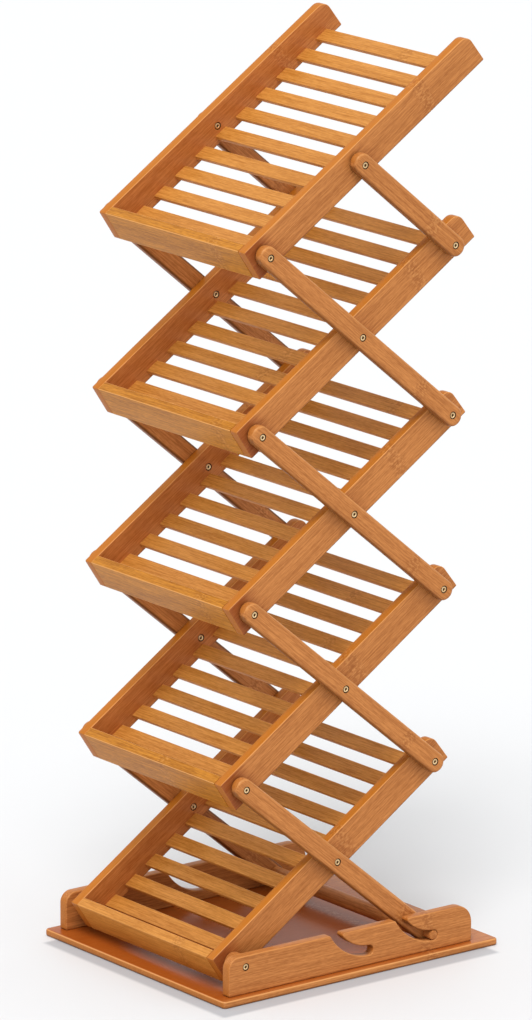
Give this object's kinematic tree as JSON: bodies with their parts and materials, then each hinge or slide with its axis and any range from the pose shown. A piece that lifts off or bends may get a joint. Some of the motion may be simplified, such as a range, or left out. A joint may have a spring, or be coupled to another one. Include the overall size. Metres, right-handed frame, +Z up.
{
  "type": "folding brochure stand",
  "caption": "Free-standing wooden brochure stand: slatted trays with front lips on a scissor linkage that folds flat onto a base plate with locking notches.",
  "frame": {"origin": "middle of the base plate's underside", "axes": "+X to the stand's right, +Y from the front lips to the back, +Z up"},
  "size_m": [0.33, 0.38, 1.0157],
  "materials": {
    "bamboo_rails": "clear satin lacquer over orange-brown bamboo",
    "bamboo_slats": "clear satin lacquer over golden bamboo",
    "bamboo_base": "glossy lacquer over orange-brown bamboo",
    "dowel_wood": "bare wood",
    "brass": "satin brass plating",
    "screw_steel": "zinc plated"
  },
  "bodies": {
    "base": {"base_plate": "bamboo_base", "base_rail_left": "bamboo_rails", "base_rail_right": "bamboo_rails", "base_screws": "screw_steel", "front_spacers": "bamboo_rails", "front_bolts": "brass", "front_nuts": "brass", "crossbar_ends": "bamboo_rails"},
    "tray_1": {"tray_1_rail_left": "bamboo_rails", "tray_1_rail_right": "bamboo_rails", "tray_1_lip": "bamboo_rails", "tray_1_dowels": "dowel_wood", "tray_1_slats": "bamboo_slats", "tray_1_bolts": "brass", "tray_1_nuts": "brass"},
    "link_1": {"link_1_left": "bamboo_rails", "link_1_right": "bamboo_rails", "crossbar": "bamboo_rails"},
    "tray_2": {"tray_2_rail_left": "bamboo_rails", "tray_2_rail_right": "bamboo_rails", "tray_2_lip": "bamboo_rails", "tray_2_dowels": "dowel_wood", "tray_2_slats": "bamboo_slats", "tray_2_bolts": "brass", "tray_2_nuts": "brass"},
    "link_2": {"link_2_left": "bamboo_rails", "link_2_right": "bamboo_rails"},
    "tray_3": {"tray_3_rail_left": "bamboo_rails", "tray_3_rail_right": "bamboo_rails", "tray_3_lip": "bamboo_rails", "tray_3_dowels": "dowel_wood", "tray_3_slats": "bamboo_slats", "tray_3_bolts": "brass", "tray_3_nuts": "brass"},
    "link_3": {"link_3_left": "bamboo_rails", "link_3_right": "bamboo_rails"},
    "tray_4": {"tray_4_rail_left": "bamboo_rails", "tray_4_rail_right": "bamboo_rails", "tray_4_lip": "bamboo_rails", "tray_4_dowels": "dowel_wood", "tray_4_slats": "bamboo_slats", "tray_4_bolts": "brass", "tray_4_nuts": "brass"},
    "link_4": {"link_4_left": "bamboo_rails", "link_4_right": "bamboo_rails"},
    "tray_5": {"tray_5_rail_left": "bamboo_rails", "tray_5_rail_right": "bamboo_rails", "tray_5_lip": "bamboo_rails", "tray_5_dowels": "dowel_wood", "tray_5_slats": "bamboo_slats", "tray_5_bolts": "brass", "tray_5_nuts": "brass"},
    "link_5": {"link_5_left": "bamboo_rails", "link_5_right": "bamboo_rails"}
  },
  "joints": [
    {"name": "fold", "type": "hinge", "parent": "base", "child": "tray_1", "pos_m": [0, -0.153, 0.0385], "axis": [-1, 0, 0], "range_deg": [0, 29.5]},
    {"name": "link_1_turn", "type": "hinge", "parent": "tray_1", "child": "link_1", "pos_m": [0, -0.01822, 0.12838], "axis": [1, 0, 0], "range_deg": [0, 59]},
    {"name": "tray_2_turn", "type": "hinge", "parent": "link_1", "child": "tray_2", "pos_m": [0, -0.14269, 0.23208], "axis": [-1, 0, 0], "range_deg": [0, 59]},
    {"name": "link_2_turn", "type": "hinge", "parent": "tray_2", "child": "link_2", "pos_m": [0, -0.00791, 0.32197], "axis": [1, 0, 0], "range_deg": [0, 59]},
    {"name": "tray_3_turn", "type": "hinge", "parent": "link_2", "child": "tray_3", "pos_m": [0, -0.13237, 0.42567], "axis": [-1, 0, 0], "range_deg": [0, 59]},
    {"name": "link_3_turn", "type": "hinge", "parent": "tray_3", "child": "link_3", "pos_m": [0, 0.00241, 0.51555], "axis": [1, 0, 0], "range_deg": [0, 59]},
    {"name": "tray_4_turn", "type": "hinge", "parent": "link_3", "child": "tray_4", "pos_m": [0, -0.12206, 0.61925], "axis": [-1, 0, 0], "range_deg": [0, 59]},
    {"name": "link_4_turn", "type": "hinge", "parent": "tray_4", "child": "link_4", "pos_m": [0, 0.01272, 0.70913], "axis": [1, 0, 0], "range_deg": [0, 59]},
    {"name": "tray_5_turn", "type": "hinge", "parent": "link_4", "child": "tray_5", "pos_m": [0, -0.11174, 0.81283], "axis": [-1, 0, 0], "range_deg": [0, 59]},
    {"name": "link_5_turn", "type": "hinge", "parent": "tray_5", "child": "link_5", "pos_m": [0, 0.01472, 0.89717], "axis": [1, 0, 0], "range_deg": [0, 59]}
  ],
  "couplings": [
    {"joint": "link_1_turn", "follows": "fold", "ratio": 2},
    {"joint": "tray_2_turn", "follows": "fold", "ratio": 2},
    {"joint": "link_2_turn", "follows": "fold", "ratio": 2},
    {"joint": "tray_3_turn", "follows": "fold", "ratio": 2},
    {"joint": "link_3_turn", "follows": "fold", "ratio": 2},
    {"joint": "tray_4_turn", "follows": "fold", "ratio": 2},
    {"joint": "link_4_turn", "follows": "fold", "ratio": 2},
    {"joint": "tray_5_turn", "follows": "fold", "ratio": 2},
    {"joint": "link_5_turn", "follows": "fold", "ratio": 2}
  ]
}
